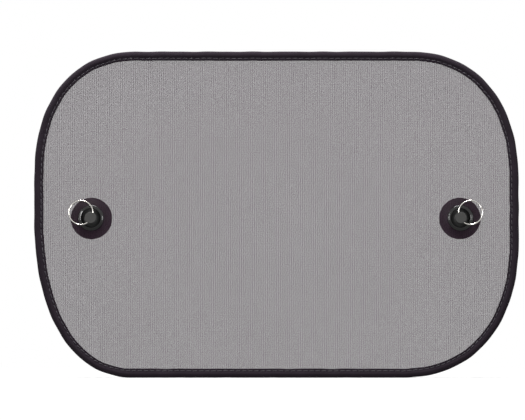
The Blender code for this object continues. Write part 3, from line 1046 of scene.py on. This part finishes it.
# %% [markdown]
# Plasticised PVC is soft and heavy with oil, which comes to the surface as a haze. So this vinyl is
# matt: its highlights are wide and weak, and a slow noise makes some patches duller than others.
# The colour stays near black, apart from the front face of the knob, which is painted a lighter
# grey: a painted highlight that stands in for the light falling on that flat face.

# %% Soft vinyl
PAINTED_LIGHT_DEPTH = 0.12
CUP_SHARP_ANGLE = math.radians(35.0)


def soft_vinyl():
    material, tree = new_material("soft_black_vinyl")
    place = add_node(tree, "ShaderNodeTexCoord").outputs["Object"]
    haze = add_node(tree, "ShaderNodeTexNoise", {"Vector": place, "Scale": 1 / (6.0 * MM)})
    grain = add_node(tree, "ShaderNodeTexNoise", {"Vector": place, "Scale": 1 / (0.4 * MM)})
    rough = add_node(
        tree,
        "ShaderNodeMapRange",
        {"Value": haze.outputs[0], "To Min": 0.5, "To Max": 0.65},
    )
    colours = {FIRST_COLOUR: linear("#090a09"), SECOND_COLOUR: linear("#101110")}
    shade = add_node(
        tree, "ShaderNodeMix", {"Factor": haze.outputs[0], **colours}, data_type="RGBA"
    )
    depth = add_node(tree, "ShaderNodeSeparateXYZ", {0: place})
    # The knob's front face is painted a lighter grey, a painted highlight for the light on it.
    on_front = add_node(
        tree,
        "ShaderNodeMapRange",
        {
            "Value": depth.outputs["Y"],
            "From Min": (knob_front + PAINTED_LIGHT_DEPTH) * MM,
            "From Max": knob_front * MM,
        },
    )
    colours = {FIRST_COLOUR: shade.outputs[MIXED_COLOUR], SECOND_COLOUR: linear("#1d1d1b")}
    painted_knob_light = add_node(
        tree, "ShaderNodeMix", {"Factor": on_front.outputs[0], **colours}, data_type="RGBA"
    )
    bump = add_node(
        tree,
        "ShaderNodeBump",
        {"Height": grain.outputs[0], "Strength": 0.15, "Distance": 0.03 * MM},
    )
    shader = add_node(
        tree,
        "ShaderNodeBsdfPrincipled",
        {
            "Base Color": painted_knob_light.outputs[MIXED_COLOUR],
            "Roughness": rough.outputs[0],
            "IOR": 1.54,
            "Normal": bump.outputs[0],
        },
    )
    add_node(tree, "ShaderNodeOutputMaterial", {"Surface": shader.outputs[0]})
    return material


vinyl = soft_vinyl()
for side, centre in zip(SIDES, CUP_CENTRES):
    cup = piece_from(turned_shape(cup_profile(), False), side + "_cup", centre)
    cut_with(cup, piece_from(knob_hole(side), side + "_knob_hole", centre))
    cup.data.set_sharp_from_angle(angle=CUP_SHARP_ANGLE)
    cup.data.materials.clear()
    cup.data.materials.append(vinyl)
    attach(cup, side + "_cup")
    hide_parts(side + "_suction_cup")
    print(f"{cup.name}: {len(cup.data.polygons)} faces")

# %% [markdown]
# A split ring is nearly two turns of spring wire that lie side by side, with a step where the wire
# changes from one plane to the other. Its centreline is flat, then steps, then is flat again, and
# a curve with a round bevel gives the wire its thickness.

# %% Split rings
RING_WIRE_RADIUS = 0.65
RING_RADIUS = 12.35
TURN_PITCH = 1.4
RING_TURNS = 1.84
STEP_FROM = 318.0
STEP_TO = 352.0
FREE_END = 118.0
POINTS_PER_TURN = 90
RING_AWAY = 11.57
RING_SHARP_ANGLE = math.radians(50.0)


def ring_curve(side, centre):
    curve = bpy.data.curves.new(side + "_ring", "CURVE")
    curve.dimensions = "3D"
    curve.bevel_depth = RING_WIRE_RADIUS * MM
    curve.bevel_resolution = 3
    curve.use_fill_caps = True
    count = round(POINTS_PER_TURN * RING_TURNS)
    line = curve.splines.new("POLY")
    line.points.add(count)
    outwards = SIDES[side]
    middle = Vector((centre.x, 0.0, centre.y))
    middle += Vector((outwards * math.sin(RING_LEAN), 0.0, math.cos(RING_LEAN))) * RING_AWAY
    for k, point in enumerate(line.points):
        along = 360.0 * k / POINTS_PER_TURN
        share = min(1.0, max(0.0, (along - STEP_FROM) / (STEP_TO - STEP_FROM)))
        step = (share * share * (3 - 2 * share) - 0.5) * TURN_PITCH
        angle = math.radians(FREE_END - along)
        out = Vector((-outwards * math.cos(angle), 0.0, math.sin(angle))) * RING_RADIUS
        point.co = (*((middle + out + Vector((0.0, RING_PLACE + step, 0.0))) * MM), 1.0)
    return curve


# %% [markdown]
# Bright nickel plate over steel wire mirrors the white room, with a slightly warm tint. Handling
# has worn it unevenly, so a noise of one and a half millimetres varies its gloss and its tint.

# %% Nickel plate
def nickel_plate():
    material, tree = new_material("bright_nickel_plate")
    place = add_node(tree, "ShaderNodeTexCoord").outputs["Object"]
    wear = add_node(tree, "ShaderNodeTexNoise", {"Vector": place, "Scale": 1 / (1.5 * MM)})
    rough = add_node(
        tree,
        "ShaderNodeMapRange",
        {"Value": wear.outputs[0], "To Min": 0.1, "To Max": 0.22},
    )
    colours = {FIRST_COLOUR: linear("#cfccc6"), SECOND_COLOUR: linear("#e2e0da")}
    tint = add_node(
        tree, "ShaderNodeMix", {"Factor": wear.outputs[0], **colours}, data_type="RGBA"
    )
    shader = add_node(
        tree,
        "ShaderNodeBsdfPrincipled",
        {"Base Color": tint.outputs[MIXED_COLOUR], "Metallic": 1.0, "Roughness": rough.outputs[0]},
    )
    add_node(tree, "ShaderNodeOutputMaterial", {"Surface": shader.outputs[0]})
    return material


nickel = nickel_plate()
for side, centre in zip(SIDES, CUP_CENTRES):
    ring = object_from_curve(ring_curve(side, centre), side + "_key_ring")
    ring.data.set_sharp_from_angle(angle=RING_SHARP_ANGLE)
    ring.data.materials.append(nickel)
    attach(ring, side + "_ring")
    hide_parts(side + "_split_ring")
    print(f"{ring.name}: {len(ring.data.polygons)} faces")

# %% [markdown]
# The hoop and its crimped sleeve stay inside the tape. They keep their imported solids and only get
# the finish of drawn spring steel, in case a view ever looks into the channel.

# %% Drawn spring steel
def drawn_steel():
    material, tree = new_material("drawn_spring_steel")
    place = add_node(tree, "ShaderNodeTexCoord").outputs["Object"]
    lines = add_node(tree, "ShaderNodeTexNoise", {"Vector": place, "Scale": 1 / (0.8 * MM)})
    rough = add_node(
        tree,
        "ShaderNodeMapRange",
        {"Value": lines.outputs[0], "To Min": 0.3, "To Max": 0.45},
    )
    shader = add_node(
        tree,
        "ShaderNodeBsdfPrincipled",
        {"Base Color": linear("#a5a6a8"), "Metallic": 1.0, "Roughness": rough.outputs[0]},
    )
    add_node(tree, "ShaderNodeOutputMaterial", {"Surface": shader.outputs[0]})
    return material


steel = drawn_steel()
for name in ("hoop_wire", "wire_ferrule"):
    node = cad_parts[name]
    node.data.materials.clear()
    node.data.materials.append(steel)
